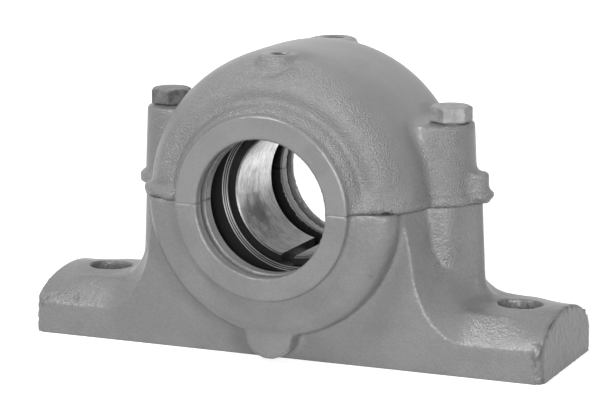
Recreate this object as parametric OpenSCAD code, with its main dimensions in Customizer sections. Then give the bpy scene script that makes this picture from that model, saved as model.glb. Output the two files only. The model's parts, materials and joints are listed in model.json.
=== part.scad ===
// Split plummer block on an adapter sleeve: base and cap castings, cap bolts, self-aligning ball
// bearing, locating rings, sleeve, lock washer and lock nut.
// X runs along the feet, Y along the shaft, Z up; the origin is the middle of the base's underside.

/* [Base] */
// Length over both feet
base_length = 280; // [270:1:320]
// Width of the feet
base_width = 78; // [74:1:84]
// Height of the flat top of each foot
foot_height = 30; // [26:0.5:34]
// Height of the upright edge of each foot
foot_edge = 15.5; // [12:0.5:20]
// Width of the flat top of each foot
foot_flat = 45; // [38:1:50]
// Distance from the middle of a slot to the end of its foot
slot_to_end = 25; // [23:0.5:28]
// Width of a foot slot
slot_width = 18; // [14:0.5:20]
// End-to-end length of a foot slot
slot_length = 23; // [20:0.5:28]
// Inward lean of the foot's end face, up to its rounded top edge
end_draft = 1.2; // [0:0.2:3]
// Radius of the large curve over the outer end of a foot
end_curve = 100; // [60:5:120]
// Corner radius of the feet seen from above
foot_corner = 4; // [2:0.5:8]
// Radius of the hollow sweep from the body down to a foot
sweep_radius = 33; // [28:1:36]

/* [Body] */
// Height of the shaft axis and of the joint above the underside
centre_height = 80; // [76:1:84]
// Radius of the cap's crown
dome_radius = 75.3; // [73:0.1:78]
// Half width at which the cap's shoulder would close
dome_reach = 56.3; // [54:0.1:58]
// Squareness of the cap's shoulder
dome_power = 3.8; // [3:0.1:5]
// Radius of the half-round boss on each side of the base
boss_radius = 67; // [65:0.5:69]
// Half width over the shoulders of that boss
boss_reach = 54; // [52:0.5:56]
// Edge radius of that boss
boss_round = 9; // [6:0.5:12]
// Outer diameter of the flat end rings
ring_diameter = 93; // [90:0.5:96]
// Width over the two end rings
ring_width = 120.6; // [116:0.2:126]
// Diameter of the openings that the shaft passes through
mouth_diameter = 69.2; // [67:0.2:72]
// Edge chamfer of those openings
mouth_chamfer = 1; // [0.5:0.1:1.5]
// Thickness of the end walls round the shaft openings
end_wall = 16.8; // [14:0.2:19]
// Depth of the seal groove, radially
groove_depth = 7.4; // [4:0.2:8]
// Width of the seal groove
groove_width = 5.4; // [4:0.2:7]
// Width of the land outside the seal groove
outer_land = 5.3; // [4:0.1:7]
// Radius of the grease space beside the bearing seat
cavity_radius = 60; // [57:0.5:62]
// Corner radius of the grease space
cavity_round = 9; // [5:0.5:12]

/* [Pillars and rim] */
// Distance between the two cap bolts
bolt_spacing = 155; // [152:0.5:158]
// Distance between the centres of the rounded pillar ends
pillar_spacing = 139; // [136:0.5:142]
// Radius of a cap pillar at the joint
pillar_radius = 21.3; // [20:0.1:23]
// Height of the flat pillar tops above the underside
pillar_top = 119.3; // [115:0.1:123]
// Sideways growth of a pillar per millimetre downwards
pillar_taper = 0.042; // [0.03:0.002:0.06]
// Edge radius round the top of a cap pillar
pillar_edge = 1.6; // [1:0.1:2.5]
// Fillet between a pillar and the top of its foot
pillar_fillet = 12; // [8:0.5:13]
// Radius of the nose on the base's right pillar, under the cap's lug
nose_radius = 6; // [5:0.2:7]
// How far that nose stands out from the round pillar
nose_out = 4.2; // [2:0.2:5]
// Height of the rim along the cap's joint
rim_height = 4.8; // [3.5:0.1:6]
// How far the rim stands out from the pillars
rim_out = 2.7; // [1.5:0.1:3.5]
// How far the rim stands out from the right shoulder and the pillar fronts
rim_front = 1.4; // [0.8:0.1:2]
// How far the heavier rim stands out from the left shoulder
rim_left = 3.2; // [1:0.1:3.6]
// Radius of the lug on the cap's right end
lug_radius = 6; // [5:0.2:7]
// Height of the top of that lug above the joint
lug_height = 15; // [12:0.5:18]
// Half width of the pad below the shaft opening
drain_half = 13.4; // [11:0.2:15]
// How far that pad stands off the middle plane
drain_reach = 51.5; // [48:0.5:53]

/* [Top pads] */
// Height of the pad faces above the underside
pad_height = 153.8; // [152:0.2:156]
// Distance of each pad from the middle plane
pad_offset = 33; // [31:0.5:35]
// Diameter of the near pad
near_pad = 20.4; // [18:0.2:23]
// Diameter of the threaded hole in the near pad
near_hole = 8; // [6:0.1:9]
// Diameter of the far pad
far_pad = 25; // [22:0.2:27]
// Diameter of the threaded hole in the far pad
far_hole = 9.8; // [8:0.1:11]
// Edge radius of the pads
pad_edge = 1.6; // [0.6:0.1:2]

/* [Bearing] */
// Outside diameter of the bearing
bearing_outside = 130; // [129:0.1:131]
// Bore of the bearing at its small end
bearing_bore = 75; // [74.5:0.1:75.5]
// Width of the bearing
bearing_width = 25; // [24:0.1:26]
// Width of the seat in the housing
seat_width = 41; // [40:0.1:42]
// Ball diameter
ball_diameter = 12.7; // [11.5:0.1:12.9]
// Radius of the circle through the ball centres
pitch_radius = 51.3; // [50.5:0.1:52]
// Distance of each ball row from the middle of the bearing
row_offset = 5.9; // [5.7:0.1:6]
// Balls in each row
ball_count = 18; // [14:1:18]
// Wall of the cage
cage_wall = 1.7; // [1.2:0.1:2.2]
// Outside radius of the inner ring's lands
inner_land = 46.7; // [46:0.1:48]

/* [Sleeve and nut] */
// Bore of the adapter sleeve, the shaft's diameter
shaft_diameter = 65; // [60:0.5:67]
// Length of the adapter sleeve
sleeve_length = 43; // [42:0.5:48]
// How far the sleeve's near end stands behind the lock nut's face
sleeve_inset = 2.1; // [1:0.1:4]
// Width of the sleeve's slit
slit_width = 7; // [5:0.5:9]
// Direction of the slit seen from the near end
slit_angle = -97.5; // [-110:0.5:-70]
// Outside diameter of the lock nut
nut_outside = 98; // [94:0.5:102]
// Width of the lock nut
nut_width = 13; // [11:0.5:15]
// Thickness of the lock washer
washer_thickness = 1.5; // [1:0.1:2]
// Width of the lock washer's ring
washer_ring = 8.5; // [7:0.5:9]
// Width of the lock washer's outer tabs
washer_tab = 7; // [5:0.5:7.5]
// How far the outer tabs reach past the lock nut
tab_reach = 3; // [2:0.2:3.6]
// Outer tabs of the lock washer
washer_tabs = 19; // [13:2:21]

/* [Fasteners] */
// Thread diameter of the cap bolts
bolt_diameter = 12; // [10:0.5:13]
// Width across the flats of the bolt heads
bolt_flats = 19; // [17:0.5:21]
// Height of the bolt heads
bolt_head = 7.5; // [6:0.5:9]
// Thickness of the round face under a bolt head
bolt_face = 0.8; // [0.4:0.1:1.2]
// Length of bolt thread in the base
bolt_grip = 30; // [24:1:34]
// Diameter of the dowel pins
dowel_diameter = 6; // [4:0.5:7]
// Length of the dowel pins
dowel_length = 24; // [16:1:28]
// Radial clearance of fitted round pieces
fit = 0.03; // [0.01:0.01:0.08]

/* [Hidden] */
$fn = 96;

half_length = base_length / 2;
half_width = base_width / 2;
half_ring = ring_width / 2;
ring_radius = ring_diameter / 2;
mouth_radius = mouth_diameter / 2;
pillar_x = pillar_spacing / 2;
bolt_x = bolt_spacing / 2;
seat_radius = bearing_outside / 2;
half_seat = seat_width / 2;
// Slope from the upright edge of a foot to its flat top
slope_run = half_width - foot_flat / 2;
slope_rise = foot_height - foot_edge;
// Direction in which the sweep and the slope run back from the front face
back = [2, slope_run, slope_rise];
back_length = norm(back);
back_tilt = acos(back[2] / back_length);
back_turn = atan2(back[1], back[0]);
// The side wall of the body leans in towards the joint
wall_lean = 0.204;
sweep_stretch = back_length / slope_run;
sweep_x = pillar_x + 3 + sweep_radius;
sweep_z = foot_edge + sweep_radius * sweep_stretch;
base_pillar_radius = pillar_radius - 0.6;
nose_x = pillar_x + base_pillar_radius - nose_radius + nose_out;
// Bearing group, pushed against the far shoulder of its seat by the two locating rings
locate_width = (seat_width - bearing_width) / 2;
bearing_near = half_seat - bearing_width;
bearing_far = half_seat;
bearing_y = (bearing_near + bearing_far) / 2;
taper = 1 / 24;
washer_near = bearing_near - washer_thickness;
nut_near = washer_near - nut_width;
sleeve_near = nut_near + sleeve_inset;
sleeve_far = sleeve_near + sleeve_length;
race_radius = norm([pitch_radius, row_offset]) + ball_diameter / 2 + 0.01;
dowel_x = (cavity_radius + dome_radius) / 2 - 1.1;
dowel_y = half_seat + 7.5;
rim_bottom = centre_height;

function squircle(reach, height, power, steps) =
    [for (i = [0:steps]) let (a = 90 * i / steps)
        [height * pow(cos(a), 2 / power), reach * pow(sin(a), 2 / power)]];

function mirrored(points) = [for (i = [len(points) - 1:-1:0]) [points[i][0], -points[i][1]]];

// Turns a section drawn in [radius, y] about the shaft axis
module turned() {
    translate([0, 0, centre_height])
        rotate([-90, 0, 0])
            rotate_extrude($fn = 144)
                children();
}

module above(z) {
    translate([-half_length - 20, -half_ring - 20, z])
        cube([base_length + 40, ring_width + 40, 200]);
}

module below(z) {
    translate([-half_length - 20, -half_ring - 20, z - 200])
        cube([base_length + 40, ring_width + 40, 200]);
}

module both_x() {
    children();
    mirror([1, 0, 0])
        children();
}

module both_y() {
    children();
    mirror([0, 1, 0])
        children();
}

// The hollow inside both castings: seat, grease spaces, seal grooves and shaft openings
module hollow_section() {
    inner = half_ring - end_wall;
    c = cavity_round;
    for (s = [-1, 1]) {
        polygon(concat(
            [[0, s * (half_seat - 1)], [0, s * inner]],
            [for (i = [0:8]) let (a = 90 - 90 * i / 8)
                [cavity_radius - c + c * cos(a), s * (inner - c + c * sin(a))]],
            [[cavity_radius, s * (half_seat - 1)]]));
        polygon([[0, s * (inner - 1)], [mouth_radius, s * (inner - 1)],
            [mouth_radius, s * (half_ring - mouth_chamfer)],
            [mouth_radius + mouth_chamfer + 0.5, s * (half_ring + 0.5)], [0, s * (half_ring + 0.5)]]);
        translate([0, s > 0 ? half_ring - outer_land - groove_width : outer_land - half_ring])
            square([mouth_radius + groove_depth, groove_width]);
    }
    translate([0, -half_seat])
        square([seat_radius, seat_width]);
}

module hollow() {
    turned()
        hollow_section();
}

// Slanted prism with the section "points" in the front face, running back along the slope
module slanted(points) {
    e1 = [cos(back_tilt) * cos(back_turn), cos(back_tilt) * sin(back_turn), -sin(back_tilt)];
    e2 = [-sin(back_turn), cos(back_turn), 0];
    rotate([0, back_tilt, back_turn])
        linear_extrude(height = 160, center = true)
            polygon([for (p = points) let (q = [p[0], -half_width, p[1]]) [q * e1, q * e2]]);
}

// Space in front of a foot and beside the body, with its hollow sweep
module flank() {
    e1 = [cos(back_tilt) * cos(back_turn), cos(back_tilt) * sin(back_turn), -sin(back_tilt)];
    e2 = [-sin(back_turn), cos(back_turn), 0];
    wall_top = centre_height + 60;
    wall_foot = sweep_z - 4;
    wall_x = sweep_x - sweep_radius - 0.4;
    slanted([[wall_x, wall_foot], [wall_x - wall_lean * (wall_top - wall_foot), wall_top],
        [half_length + 60, wall_top], [half_length + 60, foot_edge], [sweep_x, foot_edge], [sweep_x, sweep_z]]);
    q = [sweep_x, -half_width, sweep_z];
    rotate([0, back_tilt, back_turn])
        translate([q * e1, q * e2, 0])
            cylinder(h = 160, r = sweep_radius, center = true, $fn = 128);
}

// Right half of the base's outline seen from the front, without pillars
function outline_points() =
    let (r = 4, e = half_length - end_draft, c = pillar_fillet + 1.5)
    concat([[half_length, 0], [half_length - end_draft / 2, foot_edge]],
        [for (i = [0:8]) let (a = 90 * i / 8) [e - r + r * cos(a), foot_height - r + r * sin(a)]],
        [for (i = [0:12]) let (a = -90 - 90 * i / 12)
            [pillar_x + 16 + c + c * cos(a), foot_height + c + c * sin(a)]],
        [[pillar_x + 14, centre_height]]);

module base_outline() {
    right = outline_points();
    polygon(concat(right, [for (i = [len(right) - 1:-1:0]) [-right[i][0], right[i][1]]]));
}

module plan(half_x, half_y, r) {
    square([2 * half_x - 2 * r, 2 * half_y], center = true);
    square([2 * half_x, 2 * half_y - 2 * r], center = true);
    for (x = [-1, 1], y = [-1, 1])
        translate([x * (half_x - r), y * (half_y - r)])
            circle(r = r);
}

// What a large curve takes off the top corners of a foot's outer end
module foot_end() {
    translate([half_length - end_draft, 0, foot_height + 0.4])
        rotate([0, 6.4, 0])
            difference() {
                translate([-30, -half_width - 5, -20])
                    cube([40, base_width + 10, 40]);
                translate([-40, 0, -end_curve])
                    rotate([0, 90, 0])
                        cylinder(h = 80, r = end_curve, $fn = 256);
            }
}

// Half space inside one flat that runs from the round pillar to the nose and leans with the taper
module nose_side(turn) {
    translate([pillar_x, 0, centre_height])
        rotate([0, -atan(pillar_taper), turn])
            translate([base_pillar_radius - 60.15, -60, -90])
                cube([60, 120, 180]);
}

module nose_flanks() {
    turn = acos((base_pillar_radius - nose_radius) / (nose_x - pillar_x));
    start = pillar_x + base_pillar_radius * cos(turn) - 0.6;
    intersection() {
        nose_side(turn);
        nose_side(-turn);
        translate([start, -30, 5])
            cube([nose_x + nose_radius * cos(turn) - start, 60, centre_height - 5]);
    }
}

module foot_fillet(r_foot) {
    f = pillar_fillet;
    rotate_extrude()
        difference() {
            square([r_foot + f, f + 2]);
            translate([r_foot + f + 0.6, f + 2])
                circle(r = f);
        }
}

module base_pillar(nose) {
    drop = centre_height - 5;
    grow = (centre_height - foot_height) * pillar_taper - 1;
    f = pillar_fillet;
    translate([pillar_x, 0, 5])
        cylinder(h = drop, r1 = base_pillar_radius + drop * pillar_taper, r2 = base_pillar_radius);
    if (nose) {
        nose_flanks();
        translate([nose_x, 0, 5])
            cylinder(h = drop, r1 = nose_radius + drop * pillar_taper, r2 = nose_radius);
    }
    // Fillets down to the flat of the foot
    intersection() {
        union() {
            translate([pillar_x, 0, foot_height - 2])
                foot_fillet(base_pillar_radius + grow);
            if (nose)
                translate([nose_x, 0, foot_height - 2])
                    foot_fillet(nose_radius + grow);
        }
        rotate([90, 0, 90])
            linear_extrude(height = half_length)
                polygon([[-foot_flat / 2 - 1.4, 20], [-foot_flat / 2 + 6, foot_height + f + 3],
                    [foot_flat / 2 - 6, foot_height + f + 3], [foot_flat / 2 + 1.4, 20]]);
    }
}

// Rounded corner between the side of the body and the front of a pillar
module valley() {
    r = 6;
    x0 = pillar_x + 1.5;
    y0 = pillar_radius - 1.6;
    translate([0, 0, foot_height + 6])
        linear_extrude(height = centre_height - foot_height - 6)
            difference() {
                translate([x0 - 3, -y0 - r - 0.8])
                    square([r + 3, r + 1.6]);
                translate([x0 + r, -y0 - r - 0.8])
                    circle(r = r);
            }
}

module boss() {
    rr = boss_round;
    turned()
        polygon(concat([[0, -boss_reach - 1.4], [ring_radius + 3, -boss_reach - 1.4]],
            [for (i = [0:10]) let (a = -78 + 78 * i / 10)
                [boss_radius - rr + rr * cos(a), -(boss_reach - rr) + rr * sin(a)]],
            [for (i = [0:10]) let (a = 78 * i / 10)
                [boss_radius - rr + rr * cos(a), boss_reach - rr + rr * sin(a)]],
            [[ring_radius + 3, boss_reach + 1.4], [0, boss_reach + 1.4]]));
}

module end_rings() {
    f = 2.5;
    inner = boss_reach + 0.8;
    turned()
        for (s = [-1, 1])
            polygon(concat([[0, 0], [0, s * half_ring], [ring_radius, s * half_ring]],
                [for (i = [0:6]) let (a = 90 * i / 6)
                    [ring_radius + f - f * cos(a), s * (inner + f - f * sin(a))]],
                [[ring_radius + f, 0]]));
}

// Pad below the shaft opening, rounded at its foot
module drain_pad() {
    r = drain_half - 1;
    rotate([90, 0, 0])
        linear_extrude(height = 2 * drain_reach, center = true)
            polygon(concat([[drain_half + 1, centre_height - ring_radius], [drain_half, 18]],
                [for (i = [0:16]) let (a = -180 * i / 16)
                    [r * cos(a), 2 + r * 0.85 + r * 0.85 * sin(a)]],
                [[-drain_half, 18], [-drain_half - 1, centre_height - ring_radius]]));
}

module bolt_slots() {
    for (s = [-1, 1])
        translate([s * (half_length - slot_to_end), 0, -1])
            linear_extrude(height = foot_height + 12) {
                square([slot_length - slot_width, slot_width], center = true);
                for (t = [-1, 1])
                    translate([t * (slot_length - slot_width) / 2, 0])
                        circle(d = slot_width);
            }
}

module dowel_places() {
    translate([-dowel_x, dowel_y, centre_height])
        children();
    translate([dowel_x, -dowel_y, centre_height])
        children();
}

module base() {
    color([0.50, 0.50, 0.50])
        difference() {
            union() {
                intersection() {
                    difference() {
                        rotate([90, 0, 0])
                            linear_extrude(height = base_width, center = true)
                                base_outline();
                        both_x()
                            both_y()
                                flank();
                        both_x()
                            foot_end();
                    }
                    linear_extrude(height = centre_height)
                        plan(half_length, half_width, foot_corner);
                }
                base_pillar(true);
                mirror([1, 0, 0])
                    base_pillar(false);
                both_x()
                    both_y()
                        valley();
                intersection() {
                    union() {
                        boss();
                        end_rings();
                        drain_pad();
                    }
                    translate([-half_length, -half_ring, 2])
                        cube([base_length, ring_width, centre_height - 2]);
                }
            }
            hollow();
            bolt_slots();
            for (s = [-1, 1])
                translate([s * bolt_x, 0, centre_height - bolt_grip - 6])
                    cylinder(h = bolt_grip + 10, d = bolt_diameter + 2 * fit);
            dowel_places()
                cylinder(h = dowel_length + 2, d = dowel_diameter + 2 * fit, center = true);
        }
}

module dome_section(grow) {
    front = squircle(dome_reach + grow, dome_radius + grow, dome_power, 26);
    polygon(concat(front, [for (p = mirrored(front)) p]));
}

// Half section of a cap pillar: drafted side and rounded top edge
function pillar_points() =
    let (rise = pillar_top - centre_height, r = pillar_radius - rise * pillar_taper, e = pillar_edge)
    concat([[pillar_radius, 0]],
        [for (i = [0:6]) let (a = 90 * i / 6) [r - e + e * cos(a), rise - e + e * sin(a)]]);

module cap_pillar() {
    side = pillar_points();
    translate([pillar_x, 0, centre_height])
        rotate_extrude()
            polygon(concat([[0, 0]], side, [[0, pillar_top - centre_height]]));
    translate([0, 0, centre_height])
        rotate([90, 0, 90])
            linear_extrude(height = pillar_x)
                polygon(concat(side, [for (i = [len(side) - 1:-1:0]) [-side[i][0], side[i][1]]]));
}

// Bead along the right shoulder, between the flat ring and the pillar
module shoulder_rim(out) {
    h = rim_height;
    for (layer = [[0, 0.9, out - 0.6], [0.8, h - 2.1, out], [h - 1.4, 1.4, out - 0.9]])
        translate([0, 0, centre_height + layer[0]])
            intersection() {
                linear_extrude(height = layer[1])
                    dome_section(layer[2]);
                translate([ring_radius + 3.5, -half_ring, -1])
                    cube([60, ring_width, h + 2]);
            }
}

// Rim along the joint, a little off centre so that it is heavier round the pillar ends
module rim() {
    shift = (rim_out - rim_front) / 2;
    r = pillar_radius + rim_front + shift;
    c = 1.2;
    both_x() {
        translate([pillar_x + shift, 0, centre_height])
            cylinder(h = rim_height - c, r = r);
        translate([pillar_x + shift, 0, centre_height + rim_height - c])
            cylinder(h = c, r1 = r, r2 = r - c);
        translate([0, -r, centre_height])
            cube([pillar_x + shift, 2 * r, rim_height - c]);
    }
    shoulder_rim(rim_front);
    mirror([1, 0, 0])
        shoulder_rim(rim_left);
}

module end_lug() {
    x = pillar_x + pillar_radius + 0.8;
    out = lug_radius + rim_out;
    translate([x, 0, centre_height]) {
        cylinder(h = lug_height - 1, r = lug_radius);
        translate([0, 0, lug_height - 1])
            cylinder(h = 1, r1 = lug_radius, r2 = lug_radius - 1);
        translate([0, 0, 0.4])
            cylinder(h = 2.4, r1 = lug_radius + 0.4, r2 = out - 0.2);
        translate([0, 0, 2.8])
            cylinder(h = 1.8, r = out);
        translate([0, 0, 4.6])
            cylinder(h = 1.6, r1 = out - 0.2, r2 = lug_radius + 0.4);
    }
    translate([x - lug_radius - 2, -lug_radius, centre_height])
        cube([lug_radius + 2, 2 * lug_radius, lug_height - 0.6]);
}

// Round pad with a soft edge, flared where it meets the crown
module pad(d) {
    e = pad_edge;
    f = 1.6;
    wall = 3.6;
    rotate_extrude()
        polygon(concat([[0, 0], [d / 2 - e, 0]],
            [for (i = [1:6]) let (a = 90 - 90 * i / 6) [d / 2 - e + e * cos(a), -e + e * sin(a)]],
            [for (i = [0:5]) let (a = 75 * i / 5) [d / 2 + 0.1 + f - f * cos(a), -wall - f * sin(a)]],
            [[d / 2 + 3, -14], [0, -14]]));
}

module pads() {
    translate([-2, -pad_offset, pad_height])
        pad(near_pad);
    translate([0, pad_offset, pad_height])
        pad(far_pad);
}

module cap() {
    color([0.52, 0.52, 0.52])
        difference() {
            union() {
                intersection() {
                    union() {
                        turned()
                            dome_section(0);
                        end_rings();
                        pads();
                        both_x()
                            cap_pillar();
                        rim();
                        end_lug();
                    }
                    above(centre_height);
                }
            }
            hollow();
            for (s = [-1, 1])
                translate([s * bolt_x, 0, centre_height - 1])
                    cylinder(h = pillar_top - centre_height + 2, d = bolt_diameter + 1.5);
            dowel_places()
                cylinder(h = dowel_length + 2, d = dowel_diameter + 2 * fit, center = true);
            translate([0, -pad_offset, centre_height])
                cylinder(h = 100, d = near_hole);
            translate([0, pad_offset, centre_height])
                cylinder(h = 100, d = far_hole);
        }
}

// Hexagon head with a chamfered top and a round face, on a plain shank
module cap_bolt(x, turn) {
    corner = bolt_flats / sqrt(3);
    translate([x, 0, pillar_top])
        rotate([0, 0, turn]) {
            cylinder(h = bolt_face, d = bolt_flats * 0.88);
            intersection() {
                translate([0, 0, bolt_face])
                    cylinder(h = bolt_head, r = corner, $fn = 6);
                translate([0, 0, bolt_face])
                    cylinder(h = bolt_head, r1 = corner + bolt_head * 1.5,
                        r2 = bolt_flats / 2 - 0.3);
            }
            translate([0, 0, centre_height - pillar_top - bolt_grip])
                cylinder(h = pillar_top - centre_height + bolt_grip + 0.2, d = bolt_diameter);
            translate([0, 0, centre_height - pillar_top - bolt_grip - 1.5])
                cylinder(h = 1.5, d1 = bolt_diameter - 3, d2 = bolt_diameter);
        }
}

module cap_bolt_left() {
    color([0.36, 0.36, 0.36])
        cap_bolt(-bolt_x, 47);
}

module cap_bolt_right() {
    color([0.55, 0.55, 0.55])
        cap_bolt(bolt_x, 30);
}

module dowel(x, y) {
    color([0.6, 0.6, 0.62])
        translate([x, y, centre_height - dowel_length / 2])
            cylinder(h = dowel_length, d = dowel_diameter);
}

module dowel_left() {
    dowel(-dowel_x, dowel_y);
}

module dowel_right() {
    dowel(dowel_x, -dowel_y);
}

// Open ring that fills the seat beside the bearing
module locating_ring(y) {
    r = seat_radius - fit;
    inner = cavity_radius - 0.5;
    color([0.3, 0.3, 0.31])
        difference() {
            turned()
                translate([inner, y])
                    square([r - inner, locate_width]);
            translate([-14, y - 1, centre_height])
                cube([28, locate_width + 2, 100]);
        }
}

module locating_ring_near() {
    locating_ring(-half_seat);
}

module locating_ring_far() {
    locating_ring(-half_seat + locate_width);
}

module outer_ring() {
    r = seat_radius - fit;
    c = 1.5;
    // Ball track: part of a sphere about the bearing's middle
    edge = asin(bearing_width / 2 / race_radius);
    color([0.62, 0.62, 0.64])
        turned()
            polygon(concat([[r - c, bearing_near], [r, bearing_near + c], [r, bearing_far - c],
                [r - c, bearing_far]],
                [for (i = [0:24]) let (a = edge - 2 * edge * i / 24)
                    [race_radius * cos(a), bearing_y + race_radius * sin(a)]]));
}

// Bore radius of the inner ring at y
function bore_at(y) = bearing_bore / 2 + (y - bearing_near) * taper;

module inner_ring() {
    c = 1;
    g = ball_diameter / 2 + 0.2;
    n = norm([pitch_radius, row_offset]);
    k = 1 + 0.19 / n;
    color([0.66, 0.66, 0.68])
        turned()
            difference() {
                polygon([[bore_at(bearing_near), bearing_near], [bore_at(bearing_far), bearing_far],
                    [inner_land - c, bearing_far], [inner_land, bearing_far - c],
                    [inner_land, bearing_near + c], [inner_land - c, bearing_near]]);
                for (s = [-1, 1])
                    translate([pitch_radius * k, bearing_y + s * row_offset * k])
                        circle(r = g);
            }
}

module ball_row(side, phase) {
    for (i = [0:ball_count - 1])
        translate([0, bearing_y + side * row_offset, centre_height])
            rotate([0, (i + phase) * 360 / ball_count, 0])
                translate([pitch_radius, 0, 0])
                    sphere(d = ball_diameter, $fn = 48);
}

module balls_near() {
    color([0.8, 0.8, 0.82])
        ball_row(-1, 0);
}

module balls_far() {
    color([0.8, 0.8, 0.82])
        ball_row(1, 0.5);
}

module cage() {
    half = row_offset + ball_diameter / 2 - 1.6;
    color([0.7, 0.6, 0.35])
        difference() {
            turned()
                translate([pitch_radius - cage_wall / 2, bearing_y - half])
                    square([cage_wall, 2 * half]);
            for (s = [-1, 1], i = [0:ball_count - 1])
                translate([0, bearing_y + s * row_offset, centre_height])
                    rotate([0, (i + (s > 0 ? 0.5 : 0)) * 360 / ball_count, 0])
                        translate([pitch_radius - 3, 0, 0])
                            rotate([0, 90, 0])
                                cylinder(h = 6, d = ball_diameter + 0.2, $fn = 48);
        }
}

// Sleeve with a slit: threaded behind the nut, tapered outside under the inner ring
module adapter_sleeve() {
    bore = shaft_diameter / 2;
    thread = bearing_bore / 2 - fit;
    c = 1;
    turn = bearing_near + 1;
    color([0.72, 0.72, 0.72])
        difference() {
            turned()
                polygon([[bore + c, sleeve_near], [thread - 0.7, sleeve_near],
                    [thread, sleeve_near + 0.7], [thread, turn - 0.5],
                    [bore_at(turn) - fit, turn], [bore_at(sleeve_far) - fit, sleeve_far - c],
                    [bore_at(sleeve_far) - fit - c, sleeve_far], [bore + c, sleeve_far],
                    [bore, sleeve_far - c], [bore, sleeve_near + c]]);
            slit();
        }
}

module slit() {
    translate([0, sleeve_near - 5, centre_height])
        rotate([0, -slit_angle, 0])
            translate([bore_at(0) - 12, 0, -slit_width / 2])
                cube([20, sleeve_length + 10, slit_width]);
}

// Ring with outer tabs; one tab lies in the sleeve's slit and one is bent forward over the nut
module lock_washer() {
    w = washer_tab;
    inner = bearing_bore / 2 + fit;
    ring = bearing_bore / 2 + washer_ring;
    color([0.25, 0.25, 0.25]) {
        translate([0, washer_near, centre_height])
            rotate([-90, 0, 0])
                linear_extrude(height = washer_thickness)
                    union() {
                        difference() {
                            circle(r = ring);
                            circle(r = inner);
                        }
                        for (i = [0:washer_tabs - 1])
                            rotate([0, 0, -slit_angle + i * 360 / washer_tabs])
                                translate([ring - 1, -w / 2])
                                    square([nut_outside / 2 + (i == 0 ? washer_thickness : tab_reach) - ring, w]);
                        rotate([0, 0, -slit_angle])
                            translate([bearing_bore / 2 - 3.2, -slit_width / 2 + 0.2])
                                square([6, slit_width - 0.4]);
                    }
        translate([0, washer_near, centre_height])
            rotate([0, -slit_angle, 0])
                translate([nut_outside / 2 - 0.5, -5, -w / 2])
                    cube([washer_thickness, 5, w]);
    }
}

module lock_nut() {
    r = nut_outside / 2;
    bore = bearing_bore / 2 + fit;
    c = 1.6;
    color([0.16, 0.16, 0.16])
        difference() {
            turned()
                polygon([[bore, washer_near], [bore, nut_near + 2.3], [bore + 2.6, nut_near],
                    [r - 3, nut_near], [r, nut_near + c], [r, washer_near - c], [r - c, washer_near]]);
            for (i = [0:3])
                translate([0, nut_near - 1, centre_height])
                    rotate([0, -slit_angle + 90 * i, 0])
                        translate([r - 3.5, 0, -4])
                            cube([10, nut_width + 2, 8]);
        }
}

base();
cap();
cap_bolt_left();
cap_bolt_right();
dowel_left();
dowel_right();
locating_ring_near();
locating_ring_far();
outer_ring();
inner_ring();
balls_near();
balls_far();
cage();
adapter_sleeve();
lock_washer();
lock_nut();
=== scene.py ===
# %% [markdown]
# # A cast plummer block
#
# A plummer block holds a shaft in a bearing above a machine frame. The one made here is a split
# casting: a heavy base with two feet, and a domed cap that two bolts hold down. The cast skin is
# painted grey, and the bore through the middle shows the clean steel of the sleeve and the nut.
# The shapes come from the CAD model. This lesson gives them their camera, light and finish.

# %% Load the CAD frame
import math

import bmesh
import bpy
from mathutils import Matrix, Vector
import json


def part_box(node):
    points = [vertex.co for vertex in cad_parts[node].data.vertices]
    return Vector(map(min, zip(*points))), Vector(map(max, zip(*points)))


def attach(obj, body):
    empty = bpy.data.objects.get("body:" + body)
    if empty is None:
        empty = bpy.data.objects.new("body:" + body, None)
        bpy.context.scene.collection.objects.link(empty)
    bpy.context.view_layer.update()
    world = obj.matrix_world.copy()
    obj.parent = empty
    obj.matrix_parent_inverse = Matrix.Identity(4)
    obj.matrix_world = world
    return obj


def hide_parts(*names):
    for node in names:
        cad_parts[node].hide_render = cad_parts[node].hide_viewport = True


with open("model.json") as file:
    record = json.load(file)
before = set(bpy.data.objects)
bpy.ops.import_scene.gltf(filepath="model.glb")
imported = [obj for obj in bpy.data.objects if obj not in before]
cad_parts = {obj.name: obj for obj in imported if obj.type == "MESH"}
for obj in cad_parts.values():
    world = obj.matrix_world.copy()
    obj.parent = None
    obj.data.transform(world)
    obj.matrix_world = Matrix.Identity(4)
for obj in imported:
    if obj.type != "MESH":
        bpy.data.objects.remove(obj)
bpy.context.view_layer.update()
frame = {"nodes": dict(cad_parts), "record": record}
print("CAD nodes:", len(frame["nodes"]))

# %% [markdown]
# The camera stands low, a little to the right of the shaft's line, and far away: a long lens keeps
# the feet nearly parallel. Its place was worked out from straight edges of known size.

# %% Camera
LENS_MM = 153.2
CAMERA_PLACE = (0.5260, -1.1971, 0.3367)
CAMERA_YAW, CAMERA_PITCH, CAMERA_ROLL = 0.415, 0.200, -0.005

camera = bpy.data.objects.new("camera", bpy.data.cameras.new("camera"))
bpy.context.scene.collection.objects.link(camera)
camera.data.lens = LENS_MM
camera.data.sensor_width = 36.0
camera.matrix_world = (
    Matrix.Translation(CAMERA_PLACE)
    @ Matrix.Rotation(CAMERA_YAW, 4, "Z")
    @ Matrix.Rotation(math.pi / 2 - CAMERA_PITCH, 4, "X")
    @ Matrix.Rotation(CAMERA_ROLL, 4, "Z")
)
bpy.context.scene.camera = camera
print("camera lens", LENS_MM, "mm")

# %% [markdown]
# Studio light: one panel stands beside the camera and one on the right, two hang high on the left, so
# that the shoulder of the dome shines, and a weak one opens the shadows. Two low ones stand behind, for
# views of the back, and make no reflection on the tops. The world is very dim for the object and white
# for the camera, so the background is white without more light on the object.

# %% Light
MIDDLE = (0.0, 0.0, 0.08)


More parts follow.
